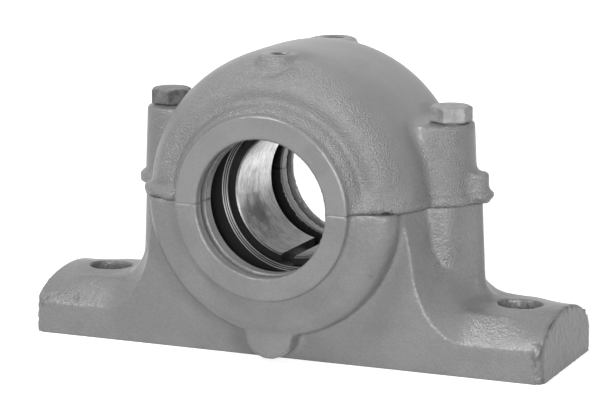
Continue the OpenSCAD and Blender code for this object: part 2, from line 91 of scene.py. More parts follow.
def panel(name, place, size, watts):
    """A square area light that looks at the middle of the object."""
    light = bpy.data.objects.new(name, bpy.data.lights.new(name, "AREA"))
    bpy.context.scene.collection.objects.link(light)
    light.data.size = size
    light.data.energy = watts
    light.location = place
    to_object = Vector(MIDDLE) - Vector(place)
    light.rotation_euler = to_object.to_track_quat("-Z", "Y").to_euler()
    return light


panel("front_panel", (0.42, -1.36, 0.40), 0.3, 8.8)
panel("top_panel", (-0.35, -0.62, 1.08), 0.3, 5.8)
panel("high_panel", (-0.24, -0.12, 0.98), 0.2, 1.9)
panel("right_panel", (1.00, -0.92, 0.24), 0.3, 5.0)
panel("left_panel", (-1.30, -0.60, 0.60), 0.9, 0.8)
for side_name, across in (("left", -0.75), ("right", 0.15)):
    behind = panel("back_" + side_name + "_panel", (across, 1.35, 0.35), 0.5, 7.0)
    behind.visible_glossy = False

WORLD_FILL = 0.03
world = bpy.data.worlds.new("studio")
bpy.context.scene.world = world
world.use_nodes = True


def seen_directly(tree):
    """1 for camera, mirror and glass rays, and 0 for the rays that light the object."""
    path = tree.nodes.new("ShaderNodeLightPath")
    first = tree.nodes.new("ShaderNodeMath")
    first.operation = "MAXIMUM"
    tree.links.new(path.outputs["Is Camera Ray"], first.inputs[0])
    tree.links.new(path.outputs["Is Glossy Ray"], first.inputs[1])
    second = tree.nodes.new("ShaderNodeMath")
    second.operation = "MAXIMUM"
    tree.links.new(first.outputs[0], second.inputs[0])
    tree.links.new(path.outputs["Is Transmission Ray"], second.inputs[1])
    return second.outputs[0]


sky = world.node_tree
background = sky.nodes["Background"]
background.inputs["Color"].default_value = (1.0, 1.0, 1.0, 1.0)
strength = sky.nodes.new("ShaderNodeMapRange")
sky.links.new(seen_directly(sky), strength.inputs["Value"])
strength.inputs["To Min"].default_value = WORLD_FILL
strength.inputs["To Max"].default_value = 1.0
sky.links.new(strength.outputs["Result"], background.inputs["Strength"])
bpy.context.scene.view_settings.view_transform = "Standard"
print("world fill", WORLD_FILL)

# %% [markdown]
# The floor is a plain pale sheet that the base stands on. It is a matt surface, so it keeps the soft
# shadow, with a little glow for the camera alone that lifts it to white.

# %% Floor
FLOOR_REACH = 3.0
FLOOR_PAINT = 0.60
FLOOR_GLOW = 0.80
floor_mesh = bmesh.new()
bmesh.ops.create_grid(floor_mesh, x_segments=1, y_segments=1, size=FLOOR_REACH)
floor = bpy.data.objects.new("floor", bpy.data.meshes.new("floor"))
floor_mesh.to_mesh(floor.data)
floor_mesh.free()
bpy.context.scene.collection.objects.link(floor)

floor_finish = bpy.data.materials.new("pale_floor")
floor_finish.use_nodes = True
floor_tree = floor_finish.node_tree
floor_tree.nodes.remove(floor_tree.nodes["Principled BSDF"])
matt = floor_tree.nodes.new("ShaderNodeBsdfDiffuse")
matt.inputs["Color"].default_value = (FLOOR_PAINT, FLOOR_PAINT, FLOOR_PAINT, 1.0)
glow = floor_tree.nodes.new("ShaderNodeEmission")
floor_tree.links.new(seen_directly(floor_tree), glow.inputs["Strength"])
glow.inputs["Color"].default_value = (FLOOR_GLOW, FLOOR_GLOW, FLOOR_GLOW, 1.0)
both = floor_tree.nodes.new("ShaderNodeAddShader")
floor_tree.links.new(matt.outputs[0], both.inputs[0])
floor_tree.links.new(glow.outputs[0], both.inputs[1])
floor_tree.links.new(both.outputs[0], floor_tree.nodes["Material Output"].inputs["Surface"])
floor.data.materials.append(floor_finish)
print("floor", 2 * FLOOR_REACH, "m across")

# %% [markdown]
# Every finish is a small tree of nodes on Object coordinates, so it stays on the part when the part
# is seen from another side. A few helpers make the common parts: a noise, a mix of two greys, a bump,
# and a ring mask, which is the distance from the shaft's line.

# %% Helpers for finishes
SHAFT_HEIGHT = 0.08
EVEN = (1.0, 1.0, 1.0)


def grey(level):
    """The linear value of an sRGB grey from 0 to 255."""
    share = level / 255.0
    return share / 12.92 if share <= 0.04045 else ((share + 0.055) / 1.055) ** 2.4


class Finish:
    """A material with its tree, and short calls that add one kind of node each."""

    def __init__(self, name, rough, metal=0.0):
        self.material = bpy.data.materials.new(name)
        self.material.use_nodes = True
        self.tree = self.material.node_tree
        self.shader = self.tree.nodes["Principled BSDF"]
        self.shader.inputs["Metallic"].default_value = metal
        self.shader.inputs["Roughness"].default_value = rough
        self.where = self.tree.nodes.new("ShaderNodeTexCoord").outputs["Object"]

    def math(self, operation, first, second=0.0):
        """One sum with two numbers or sockets."""
        node = self.tree.nodes.new("ShaderNodeMath")
        node.operation = operation
        for socket, value in zip(node.inputs, (first, second)):
            self.feed(socket, value)
        return node.outputs[0]

    def feed(self, socket, value):
        """Links a socket, or sets a number."""
        if isinstance(value, bpy.types.NodeSocket):
            self.tree.links.new(value, socket)
        else:
            socket.default_value = value

    def noise(self, scale, detail=2.0, stretch=EVEN, offset=(0.0, 0.0, 0.0), rough=0.5):
        """A cloud of noise, finer along the axes where stretch is larger."""
        turn = self.tree.nodes.new("ShaderNodeMapping")
        turn.inputs["Scale"].default_value = stretch
        turn.inputs["Location"].default_value = offset
        self.tree.links.new(self.where, turn.inputs["Vector"])
        grain = self.tree.nodes.new("ShaderNodeTexNoise")
        grain.inputs["Scale"].default_value = scale
        grain.inputs["Detail"].default_value = detail
        grain.inputs["Roughness"].default_value = rough
        self.tree.links.new(turn.outputs["Vector"], grain.inputs["Vector"])
        return grain.outputs["Fac"]

    def pebbles(self, scale, stretch=EVEN):
        """Round grains side by side, 1 at the top of each."""
        turn = self.tree.nodes.new("ShaderNodeMapping")
        turn.inputs["Scale"].default_value = stretch
        self.tree.links.new(self.where, turn.inputs["Vector"])
        grains = self.tree.nodes.new("ShaderNodeTexVoronoi")
        grains.feature = "SMOOTH_F1"
        grains.inputs["Scale"].default_value = scale
        grains.inputs["Smoothness"].default_value = 0.8
        self.tree.links.new(turn.outputs["Vector"], grains.inputs["Vector"])
        return self.math("SUBTRACT", 1.0, grains.outputs["Distance"])

    def ramp(self, value, low, high, start=0.0, end=1.0):
        """Goes softly from start to end while value goes from low to high."""
        node = self.tree.nodes.new("ShaderNodeMapRange")
        node.interpolation_type = "SMOOTHSTEP"
        self.feed(node.inputs["Value"], value)
        node.inputs["From Min"].default_value = low
        node.inputs["From Max"].default_value = high
        node.inputs["To Min"].default_value = start
        node.inputs["To Max"].default_value = end
        return node.outputs["Result"]

    def part_of(self, axis):
        """The X, Y or Z of a place on the part."""
        split = self.tree.nodes.new("ShaderNodeSeparateXYZ")
        self.tree.links.new(self.where, split.inputs[0])
        return split.outputs[axis]

    def off_middle(self, axis):
        """Distance from the middle of the part along one axis."""
        return self.math("ABSOLUTE", self.part_of(axis))

    def radius(self):
        """Distance from the shaft's line."""
        across = self.math("POWER", self.part_of("X"), 2.0)
        rise = self.math("POWER", self.math("SUBTRACT", self.part_of("Z"), SHAFT_HEIGHT), 2.0)
        return self.math("SQRT", self.math("ADD", across, rise))

    def band(self, value, low, high, soft):
        """1 between low and high, and 0 outside."""
        up = self.ramp(value, low - soft, low + soft)
        down = self.ramp(value, high - soft, high + soft, 1.0, 0.0)
        return self.math("MULTIPLY", up, down)

    def ball(self, centre, reach, soft):
        """1 inside a ball round a place, and 0 outside."""
        away = self.tree.nodes.new("ShaderNodeVectorMath")
        away.operation = "DISTANCE"
        self.tree.links.new(self.where, away.inputs[0])
        away.inputs[1].default_value = centre
        return self.ramp(away.outputs["Value"], reach - soft, reach + soft, 1.0, 0.0)

    def blend(self, share, first, second):
        """Grey number between first and second."""
        node = self.tree.nodes.new("ShaderNodeMix")
        node.data_type = "FLOAT"
        self.feed(node.inputs[0], share)
        self.feed(node.inputs[2], first)
        self.feed(node.inputs[3], second)
        return node.outputs[0]

    def colour(self, value):
        """Gives the paint its grey."""
        self.tree.links.new(value, self.shader.inputs["Base Color"])

    def bumps(self, *layers):
        """Bump layers, each (height socket, distance in metres or strength socket)."""
        normal = None
        for height, distance, strength in layers:
            bump = self.tree.nodes.new("ShaderNodeBump")
            bump.inputs["Distance"].default_value = distance
            self.feed(bump.inputs["Strength"], strength)
            self.tree.links.new(height, bump.inputs["Height"])
            if normal is not None:
                self.tree.links.new(normal, bump.inputs["Normal"])
            normal = bump.outputs["Normal"]
        self.tree.links.new(normal, self.shader.inputs["Normal"])

    def round_edges(self, corner):
        """Rounds the shading of the edges, under all bump layers."""
        soft = self.tree.nodes.new("ShaderNodeBevel")
        soft.samples = 4
        soft.inputs["Radius"].default_value = corner
        first = next(node for node in self.tree.nodes if node.type == "BUMP")
        self.tree.links.new(soft.outputs["Normal"], first.inputs["Normal"])


print("finish helpers ready")

# %% [markdown]
# The two castings carry the same grey paint. On the cap it lies on a coarse cast skin, like the peel
# of an orange, and on the base the skin is finer. The end rings are machined before painting, so they
# are smooth: a mask by radius and by distance from the middle takes the skin away there. The top and
# the sides of the dome are smoother than its front and the pillars, so the skin fades there too.

# %% Where the cast skin lies
RING_REACH = 0.0595
RING_RADIUS = 0.0466
# The dome gets rough towards its ends, and the pillars are rough: distances from the middle
ROUGH_END = (0.030, 0.045)
ROUGH_PILLAR = (0.066, 0.073)
DOME_ROUGHNESS = 0.30


def smooth_ring(finish):
    """1 on the flat end rings and in the bore, 0 on the cast skin."""
    far_out = finish.ramp(finish.off_middle("Y"), RING_REACH - 0.0003, RING_REACH + 0.0003)
    inside = finish.ramp(finish.radius(), RING_RADIUS - 0.0004, RING_RADIUS + 0.0002, 1.0, 0.0)
    return finish.math("MAXIMUM", far_out, inside)


def cast_skin(finish):
    """1 where the cast skin is coarse, less on the top and the sides of the dome, 0 on the rings."""
    skin = finish.math("SUBTRACT", 1.0, smooth_ring(finish))
    near_end = finish.ramp(finish.off_middle("Y"), *ROUGH_END, DOME_ROUGHNESS, 1.0)
    on_pillar = finish.ramp(finish.off_middle("X"), *ROUGH_PILLAR)
    return finish.math("MULTIPLY", skin, finish.math("MAXIMUM", near_end, on_pillar))


print("cast skin from", DOME_ROUGHNESS, "on the dome to 1 on the pillars")

# %% [markdown]
# The paint has seen use. The tops of the feet are darker in patches, the end of the right foot is scuffed
# and darkened with painted shade, a few spots are pitted, a few are smudged, and painted shade lies in
# the pad holes, beside the pads and on the top of the left foot. Each mark is a soft ball round a place,
# and noise breaks up those that are ragged on the real part.

# %% Marks and painted shade on the paint
# Places in metres and their reach. Scuffs: the corner and edge of the right foot, the right slot, the
# cap's rim, two spots in front, the slope of the left foot
SCUFFS = (
    ((0.1390, -0.0385, 0.0120), 0.0060),
    ((0.1373, -0.0373, 0.0170), 0.0040),
    ((0.1395, -0.0360, 0.0030), 0.0050),
    ((0.1395, 0.0180, 0.0130), 0.0050),
    ((0.1053, 0.0053, 0.0284), 0.0030),
    ((0.1172, 0.0090, 0.0261), 0.0045),
    ((0.0603, -0.0510, 0.0808), 0.0025),
    ((0.0641, -0.0480, 0.0805), 0.0025),
    ((0.0667, -0.0390, 0.0704), 0.0016),
    ((0.0561, -0.0518, 0.0496), 0.0012),
    ((-0.1345, -0.0371, 0.0172), 0.0035),
    ((-0.1261, -0.0340, 0.0199), 0.0025),
    ((-0.1165, -0.0351, 0.0189), 0.0025),
)
# Pits: the front of the right pillar and the slope of the left foot
PITTED = (
    ((0.0753, -0.0219, 0.0606), 0.0060),
    ((0.0797, -0.0194, 0.0509), 0.0060),
    ((0.0845, -0.0155, 0.0570), 0.0050),
    ((0.0797, -0.0235, 0.0461), 0.0040),
    ((-0.1310, -0.0350, 0.0185), 0.0070),
    ((-0.1200, -0.0345, 0.0190), 0.0060),
)
# Painted shade inside the holes in the two top pads
PAD_HOLE_SHADE = (
    ((-0.0020, -0.0330, 0.1495), 0.0058),
    ((0.0000, 0.0330, 0.1495), 0.0066),
)
HOLE_SHADE_EDGE = 0.0003
HOLE_SHADE_STRENGTH = 1.5
# Smudges on the flat ring at its upper right; painted shade on the crown beside each pad and on the top
# of the left foot
SMUDGES_AND_SHADE = (
    ((0.0285, -0.0603, 0.1105), 0.0048),
    ((0.0330, -0.0603, 0.1040), 0.0052),
    ((0.0322, -0.0106, 0.1480), 0.0070),
    ((0.0113, -0.0287, 0.1528), 0.0050),
    ((-0.1080, 0.0000, 0.0300), 0.0190),
)
SMUDGE_AND_SHADE_STRENGTH = 0.30
# Darker tops of the feet: their height, and how far out they start
DARKER_TOP_HEIGHT = (0.0288, 0.0340)
DARKER_TOP_START = (0.088, 0.096)
# The right end face: scuffed in patches, and darkened all over with painted shade
RIGHT_END = (0.1362, 0.1385)
MARK_DEPTH = 0.5


def darker_foot_tops(finish, stain):
    """The share of the paint's grey that is left where the tops of the feet are darker, in patches."""
    on_foot = finish.ramp(finish.off_middle("X"), *DARKER_TOP_START)
    darker_top = finish.math("MULTIPLY", finish.band(finish.part_of("Z"), *DARKER_TOP_HEIGHT, 0.0010), on_foot)
    depth = finish.ramp(stain, 0.30, 0.65, 0.30, 0.12)
    return finish.math("SUBTRACT", 1.0, finish.math("MULTIPLY", darker_top, depth))


def marks_and_painted_shade(finish):
    """The share of the paint's grey that is left under scuffs, pits, smudges and painted shade."""
    dirt = finish.noise(330.0, 4.0, (1.0, 1.0, 0.6), rough=0.65)
    scuffed = finish.ramp(dirt, 0.46, 0.60)
    pits = finish.ramp(finish.noise(1000.0, 3.0, rough=0.6), 0.54, 0.64)
    # Painted shade darkens the whole right end face, and scuffs darken it more in patches
    end = finish.ramp(finish.part_of("X"), *RIGHT_END)
    marks = finish.math("MULTIPLY", end, finish.ramp(dirt, 0.58, 0.74, 0.38, 0.9))
    kinds = ((SCUFFS, 0.6, scuffed), (PITTED, 0.7, pits), (SMUDGES_AND_SHADE, 0.6, SMUDGE_AND_SHADE_STRENGTH))
    for places, softness, strength in kinds:
        for place, reach in places:
            spot = finish.ball(place, reach, reach * softness)
            marks = finish.math("MAXIMUM", marks, finish.math("MULTIPLY", spot, strength))
    for place, reach in PAD_HOLE_SHADE:
        hole_shade = finish.ball(place, reach, HOLE_SHADE_EDGE)
        marks = finish.math("MAXIMUM", marks, finish.math("MULTIPLY", hole_shade, HOLE_SHADE_STRENGTH))
    return finish.math("SUBTRACT", 1.0, finish.math("MULTIPLY", marks, MARK_DEPTH))


print("marks:", len(SCUFFS), "scuffs,", len(PITTED), "pitted spots,", len(SMUDGES_AND_SHADE), "smudges")

# %% [markdown]
# Inside, painted shade makes the space beside the bearing and the seal grooves dark, and the far
# half darker than the near one. Masks by radius and by distance from the middle keep this to the inside.

# %% Painted shade inside
# Where the bearing space ends: along the shaft, and round it
SPACE_END = (0.0428, 0.0434)
SPACE_ROUND = (0.0655, 0.0660)
# The inner face of the end walls, and the seal groove between its two walls
WALL_FACE = (0.0440, 0.0443)
WALL_ROUND = (0.0353, 0.0600)
GROOVE_PLACE = (0.0500, 0.0546)
GROOVE_ROUND = (0.0352, 0.0430)
# Greys of the painted shade: the near half, the far half and the seal groove
NEAR_SHADE_GREY, FAR_SHADE_GREY, GROOVE_SHADE_GREY = 96, 34, 76


def painted_inside_shade(finish, tone):
    """The paint's grey, with painted shade in dark grey in its place on the inner faces."""
    along = finish.off_middle("Y")
    round_shaft = finish.radius()
    off_seat = finish.ramp(along, *SPACE_END, 1.0, 0.0)
    shaded_space = finish.math("MULTIPLY", off_seat, finish.ramp(round_shaft, *SPACE_ROUND, 1.0, 0.0))
    inner_face = finish.ramp(along, *WALL_FACE, 1.0, 0.0)
    wall = finish.math("MULTIPLY", inner_face, finish.band(round_shaft, *WALL_ROUND, 0.0003))
    shaded_space = finish.math("MAXIMUM", shaded_space, wall)
    shaded_groove = finish.math(
        "MULTIPLY",
        finish.band(along, *GROOVE_PLACE, 0.0002),
        finish.band(round_shaft, *GROOVE_ROUND, 0.0003),
    )
    shade = finish.ramp(finish.part_of("Y"), -0.010, 0.010, grey(NEAR_SHADE_GREY), grey(FAR_SHADE_GREY))
    return finish.blend(shaded_groove, finish.blend(shaded_space, tone, shade), grey(GROOVE_SHADE_GREY))


print("inside greys", NEAR_SHADE_GREY, FAR_SHADE_GREY, GROOVE_SHADE_GREY)

# %% [markdown]
# Now the paint itself: two close greys in soft clouds, round pebbles mixed with noise for the peel, and
# three layers of bump from slow waves to fine grain. A Bevel node rounds the shading of every edge.

# %% Painted castings
EDGE_ROUNDING = 0.0008
MATT_ROUGHNESS = 0.46
GLOSS_SHARE = 0.18
PEBBLE_STRETCH = (0.75, 0.75, 1.0)
FINE_GRAIN = 1500.0
FINE_HEIGHT = 0.00012


def casting(name, gloss, peel, peel_height, swell, dark, light):
    """Painted cast iron: a clouded grey with a peel, darker foot tops, marks, and painted shade in places
    and inside.
    """
    finish = Finish(name, MATT_ROUGHNESS - GLOSS_SHARE * gloss)
    finish.shader.inputs["Specular IOR Level"].default_value = gloss
    rough_skin = cast_skin(finish)
    stain = finish.noise(38.0, 3.0)
    speck = finish.noise(1400.0, 2.0)
    tone = finish.blend(finish.ramp(stain, 0.35, 0.68), grey(dark), grey(light))
    tone = finish.math("MULTIPLY", tone, finish.ramp(speck, 0.30, 0.62, 0.96, 1.02))
    grain = finish.pebbles(peel, PEBBLE_STRETCH)
    uneven = finish.noise(peel, 2.0)
    ripple = finish.math("ADD", finish.math("MULTIPLY", grain, 0.6), finish.math("MULTIPLY", uneven, 0.6))
    tone = finish.math("MULTIPLY", tone, finish.ramp(ripple, 0.52, 0.80, 0.93, 1.03))
    tone = finish.math("MULTIPLY", tone, darker_foot_tops(finish, stain))
    tone = finish.math("MULTIPLY", tone, marks_and_painted_shade(finish))
    finish.colour(painted_inside_shade(finish, tone))
    wave = finish.noise(peel * 0.28, 2.0)
    fine = finish.noise(FINE_GRAIN, 2.0)
    finish.bumps((wave, swell, rough_skin), (ripple, peel_height, rough_skin), (fine, FINE_HEIGHT, 0.6))
    finish.round_edges(EDGE_ROUNDING)
    return finish


base_finish = casting("grey_casting", 0.7, 1000.0, 0.00024, 0.0003, 125, 134)
cap_finish = casting("grey_casting_cap", 0.9, 1600.0, 0.00085, 0.0002, 126, 134)
print("castings", base_finish.material.name, cap_finish.material.name)

# %% [markdown]
# The steel in the bore was turned on a lathe. Its marks run round the shaft, so the noise is squeezed
# along Y, and the sleeve's bore has darker stains, painted light at its top, painted shade low down and
# a painted highlight on its edge. The nut is blackened, with thin bright rings at a few radii of its
# bore.

# %% Steel in the bore
def turned_steel(name, dark, light, rough, metal=1.0, marks=2200.0):
    """Steel in two greys with turning marks round the shaft."""
    finish = Finish(name, rough, metal)
    stain = finish.noise(90.0, 5.0, (1.0, 0.6, 1.0), rough=0.6)
    tone = finish.blend(finish.ramp(stain, 0.36, 0.66), grey(dark), grey(light))
    lines = finish.noise(marks, 2.0, (0.02, 1.0, 0.02))
    tone = finish.math("MULTIPLY", tone, finish.ramp(lines, 0.3, 0.7, 0.86, 1.06))
    finish.colour(tone)
    finish.bumps((lines, 0.00006, 0.7))
    return finish


SLEEVE_END = -0.0169
BORE = 0.0325
# Painted light and shade in the bore: darkest at its foot and brightest at its top, with a patch of
# painted shade low on its left
BORE_SHADE_HEIGHTS = (0.060, 0.098)
SHADE_PLACE = (-0.0290, 0.0, 0.0640)


def sleeve_steel():
    """Bore with painted light at its top and painted shade below, stains, streaks round the shaft, a dark
    end face, and a painted highlight on the edge between.
    """
    finish = Finish("sleeve_steel", 0.36, 0.85)
    stain = finish.noise(110.0, 4.0, (1.0, 0.8, 1.0), (0.02, 0.0, 0.013), 0.6)
    streak = finish.noise(650.0, 4.0, (0.35, 1.0, 0.35), rough=0.6)
    tone = finish.blend(finish.ramp(finish.part_of("Z"), *BORE_SHADE_HEIGHTS), grey(128), grey(245))
    tone = finish.math("MULTIPLY", tone, finish.ramp(stain, 0.34, 0.60, 0.72, 1.04))
    tone = finish.math("MULTIPLY", tone, finish.ramp(streak, 0.36, 0.58, 0.72, 1.06))
    blotch = finish.ramp(stain, 0.60, 0.42, 0.45, 1.0)
    shade = finish.math("MULTIPLY", finish.ball(SHADE_PLACE, 0.012, 0.010), blotch)
    tone = finish.math("MULTIPLY", tone, finish.ramp(shade, 0.0, 1.0, 1.0, 0.36))
    end_face = finish.ramp(finish.part_of("Y"), SLEEVE_END + 0.0003, SLEEVE_END + 0.0006, 1.0, 0.0)
    tone = finish.blend(end_face, tone, grey(84))
    # Painted highlight: a bright band on the bore's edge at the sleeve's end
    edge_highlight = finish.band(finish.radius(), BORE + 0.0002, BORE + 0.0008, 0.0001)
    at_end = finish.ramp(finish.part_of("Y"), SLEEVE_END, SLEEVE_END + 0.001, 1.0, 0.0)
    edge_highlight = finish.math("MULTIPLY", edge_highlight, at_end)
    finish.colour(finish.blend(edge_highlight, tone, grey(215)))
    finish.bumps((streak, 0.00008, 0.8), (finish.noise(160.0, 2.0), 0.0004, 0.5))
    return finish


# The bright rings of the nut: where each starts and ends, and how soft its edge is
NUT_RINGS = ((0.0379, 0.0382, 0.00012), (0.0396, 0.0399, 0.00012), (0.0388, 0.0390, 0.0001))


def nut_steel():
    """Blackened steel with thin bright rings."""
    finish = Finish("black_nut", 0.42, 0.5)
    round_shaft = finish.radius()
    bright_rings = 0.0
    for low, high, soft in NUT_RINGS:
        bright_rings = finish.math("MAXIMUM", bright_rings, finish.band(round_shaft, low, high, soft))
    finish.colour(finish.blend(bright_rings, grey(58), grey(170)))
    finish.bumps((finish.noise(900.0, 2.0), 0.0001, 0.5))
    return finish


sleeve_finish = sleeve_steel()
nut_finish = nut_steel()
print("bore steels", sleeve_finish.material.name, nut_finish.material.name)

# %% [markdown]
# The bolts are common zinc-dulled steel. The left head is darker than the right one. Their corners
# are worn round, which a Bevel node gives to the shading.

# %% Bolts and inner pieces
BOLT_CORNER = 0.0009


def worn_steel(name, dark, light, rough, metal):
    """Dull steel in two greys, with worn corners."""
    finish = Finish(name, rough, metal)
    stain = finish.noise(260.0, 4.0, rough=0.6)
    finish.colour(finish.blend(finish.ramp(stain, 0.34, 0.66), grey(dark), grey(light)))
    finish.bumps((finish.noise(700.0, 3.0), 0.0003, 0.8))
    finish.round_edges(BOLT_CORNER)
    return finish


finishes = {
    "grey_casting": base_finish,
    "grey_casting_cap": cap_finish,
    "dark_bolt": worn_steel("dark_bolt", 96, 128, 0.5, 0.15),
    "bolt": worn_steel("bolt", 140, 166, 0.5, 0.15),
    "dowel": turned_steel("dowel", 160, 180, 0.3),
    "locating_ring": turned_steel("locating_ring", 130, 150, 0.4),
    "bearing_steel": turned_steel("bearing_steel", 165, 190, 0.25),
    "ball_steel": turned_steel("ball_steel", 195, 210, 0.12, marks=400.0),
    "cage_steel": turned_steel("cage_steel", 150, 170, 0.35),
    "sleeve_steel": sleeve_finish,
    "washer_steel": turned_steel("washer_steel", 50, 70, 0.5, 0.6),
    "black_nut": nut_finish,
}
slot_of = {part["node"]: part["material_slot"] for part in frame["record"]["subparts"]}
for node_name, node in frame["nodes"].items():
    node.data.materials.clear()
    node.data.materials.append(finishes[slot_of[node_name]].material)
print("finishes", sorted(finishes))

# %% [markdown]
# Sand casting leaves no sharp corner: every edge is a little round, the feet are crowned, and the
# foot of each pillar runs into its foot in one soft hollow. The CAD model has the exact forms, so a
# copy of each casting gets an even mesh with the Remesh modifier, whose points can then be moved.

# %% Even mesh
import numpy as np
from mathutils import noise

MM = 0.001


def even_copy(name, node_name, voxel):
    """A copy of a CAD node as one evenly meshed piece."""
    source = frame["nodes"][node_name]
    welded = bmesh.new()
    welded.from_mesh(source.data)
    bmesh.ops.remove_doubles(welded, verts=welded.verts, dist=1e-6)
    joined = bpy.data.meshes.new(name + "_welded")
    welded.to_mesh(joined)
    welded.free()
    piece = bpy.data.objects.new(name, joined)
    bpy.context.scene.collection.objects.link(piece)
    remesh = piece.modifiers.new("even_mesh", "REMESH")
    remesh.mode = "VOXEL"
    remesh.voxel_size = voxel
    bpy.context.view_layer.update()
    evaluated = piece.evaluated_get(bpy.context.evaluated_depsgraph_get())
    piece.data = bpy.data.meshes.new_from_object(evaluated)
    piece.modifiers.clear()
    piece.data.name = name
    print(name, len(piece.data.vertices), "points,", len(piece.data.polygons), "faces")
    return piece


print("voxel remesh ready")

# %% [markdown]
# A few rounds of averaging soften a mesh, because each point moves towards the mean of its neighbours.
# How far it moves is a number per point, so the work can be kept to one place. If only the moves
# along the normals are allowed, a hollow fills up and an edge stays.

# %% Moving points
def points_of(piece):
    """The places of all points, one row each."""
    flat = np.empty(len(piece.data.vertices) * 3)
    piece.data.vertices.foreach_get("co", flat)
    return flat.reshape(-1, 3)


def normals_of(piece):
    """The directions in which the skin faces at all points."""
    flat = np.empty(len(piece.data.vertices) * 3, np.float32)
    piece.data.vertex_normals.foreach_get("vector", flat)
    return flat.reshape(-1, 3).astype(float)


def set_points(piece, points):
    """Puts the points of a piece where they are asked for."""
    piece.data.vertices.foreach_set("co", points.ravel())
    piece.data.update()


def averaged(piece, points, share, rounds, outward=None):
    """Moves each point towards the mean of its neighbours, by its own share.

    With outward normals, hollows fill and edges stay.
    """
    ends = np.empty(len(piece.data.edges) * 2, int)
    piece.data.edges.foreach_get("vertices", ends)
    a, b = ends.reshape(-1, 2).T
    count = np.bincount(a, minlength=len(points)) + np.bincount(b, minlength=len(points))
    for _ in range(rounds):
        sums = [
            np.bincount(a, points[b, axis], len(points)) + np.bincount(b, points[a, axis], len(points))
            for axis in range(3)
        ]
        step = share[:, None] * (np.stack(sums, 1) / count[:, None] - points)
        if outward is not None:
            step[np.einsum("ij,ij->i", step, outward) < 0.0] = 0.0
        points = points + step
    return points


def smooth_step(value, low, high):
    """Rises softly from 0 at low to 1 at high."""
    t = np.clip((value - low) / (high - low), 0.0, 1.0)
    return t * t * (3.0 - 2.0 * t)


def hump(value, up, down):
    """Rises from 0 to 1 over the first range and falls back to 0 over the second one."""
    return smooth_step(value, *up) * (1 - smooth_step(value, *down))


def rough(points, scale, seed):
    """A smooth random number from -1 to 1 at each point."""
    shift = Vector((seed * 3.7, seed * 1.3, seed * 2.1))
    return np.array([noise.noise(Vector(p) * scale + shift) for p in points])


print("averaging ready")

# %% [markdown]
# The lathe has cut the ring's face, the opening for the shaft and its seal groove after casting, and
# the mill has cut the joint. Averaging leaves these faces alone, and a last step puts each point that
# is near one of them exactly on it, so that the edges between them are crisp.

# %% Machined faces
JOINT_HEIGHT = 0.080
RING_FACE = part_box("base")[1].y
# The opening for the shaft, the bottom of its seal groove and the three turned walls
MOUTH = 0.0346
GROOVE_BOTTOM = 0.0420
TURNED_WALLS = (0.0435, 0.0496, 0.0550)
INSIDE_RING = 0.0440
# How far the opening and the bottom of its groove reach, from the middle
MOUTH_REACH = (0.0428, 0.0592)
GROOVE_REACH = (0.0489, 0.0557)
RING_FLAT = (0.0352, 0.0462)
# A point this near to a machined face belongs on it
SNAP = 0.7 * MM
JOINT_SNAP = 0.8 * MM


def turned_faces(round_shaft, side):
    """The points on the ring's face and in the opening for the shaft."""
    return (round_shaft < 0.047) & (side > 0.054) | (round_shaft < INSIDE_RING)


def turned_mouth(points):
    """Puts the opening for the shaft and its seal groove back on their turned faces."""
    radial = np.hypot(points[:, 0], points[:, 2] - SHAFT_HEIGHT)
    side = np.abs(points[:, 1])
    goal = radial.copy()
    for face, (near, far) in ((MOUTH, MOUTH_REACH), (GROOVE_BOTTOM, GROOVE_REACH)):
        goal[(np.abs(radial - face) < SNAP) & (side > near) & (side < far)] = face
    points[:, 0] *= goal / radial
    points[:, 2] = SHAFT_HEIGHT + (points[:, 2] - SHAFT_HEIGHT) * goal / radial
    for wall in TURNED_WALLS:
        on_wall = (np.abs(side - wall) < SNAP) & (goal < INSIDE_RING)
        points[on_wall, 1] = np.sign(points[on_wall, 1]) * wall


def finish_casting(piece, points, node_name, finish):
    """Puts the machined faces back, keeps the CAD box, gives the piece its body and paint, and hides the
    CAD node.
    """
    turned_mouth(points)
    flat_joint = np.abs(points[:, 2] - JOINT_HEIGHT) < JOINT_SNAP
    points[flat_joint, 2] = JOINT_HEIGHT
    radial = np.hypot(points[:, 0], points[:, 2] - SHAFT_HEIGHT)
    ring = (radial > RING_FLAT[0]) & (radial < RING_FLAT[1])
    ring &= np.abs(np.abs(points[:, 1]) - RING_FACE) < SNAP
    points[ring, 1] = np.sign(points[ring, 1]) * RING_FACE
    low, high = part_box(node_name)
    set_points(piece, np.clip(points, low, high))
    piece.data.polygons.foreach_set("use_smooth", [True] * len(piece.data.polygons))
    piece.data.materials.clear()
    piece.data.materials.append(finish.material)
    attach(piece, "housing")
    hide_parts(node_name)


print("turned walls at", TURNED_WALLS)

# %% [markdown]
# On the base, the foot of each pillar is averaged for many rounds, until it is one soft hollow. Then
# the outer end of each foot is crowned like half an ellipse: its top is lowered towards the sides.

# %% Base casting
BASE_VOXEL = 0.00125
# The hollow at the foot of each pillar fades in and out: outwards, upwards and to the side
FOOT_OUT = ((0.060, 0.068), (0.098, 0.108))
FOOT_UP = ((0.021, 0.028), (0.036, 0.052))
FOOT_SIDE = ((0.006, 0.014), (0.034, 0.038))
FOOT_ROUNDS = 90
# The crown of a foot
FOOT_HALF_WIDTH = 0.0392
FOOT_EDGE = 0.0155
FOOT_RISE = 0.0145
FOOT_TOP = 0.0315
CROWN_POWER = 0.74
CROWN_START = (0.088, 0.112)
CROWN_FULL = (0.112, 0.136)

base_skin = even_copy("base_skin", "base", BASE_VOXEL)
at = points_of(base_skin)
out = np.abs(at[:, 0])
side = np.abs(at[:, 1])
round_shaft = np.hypot(at[:, 0], at[:, 2] - SHAFT_HEIGHT)
machined = turned_faces(round_shaft, side) | (at[:, 2] > JOINT_HEIGHT - SNAP) | (at[:, 2] < SNAP)

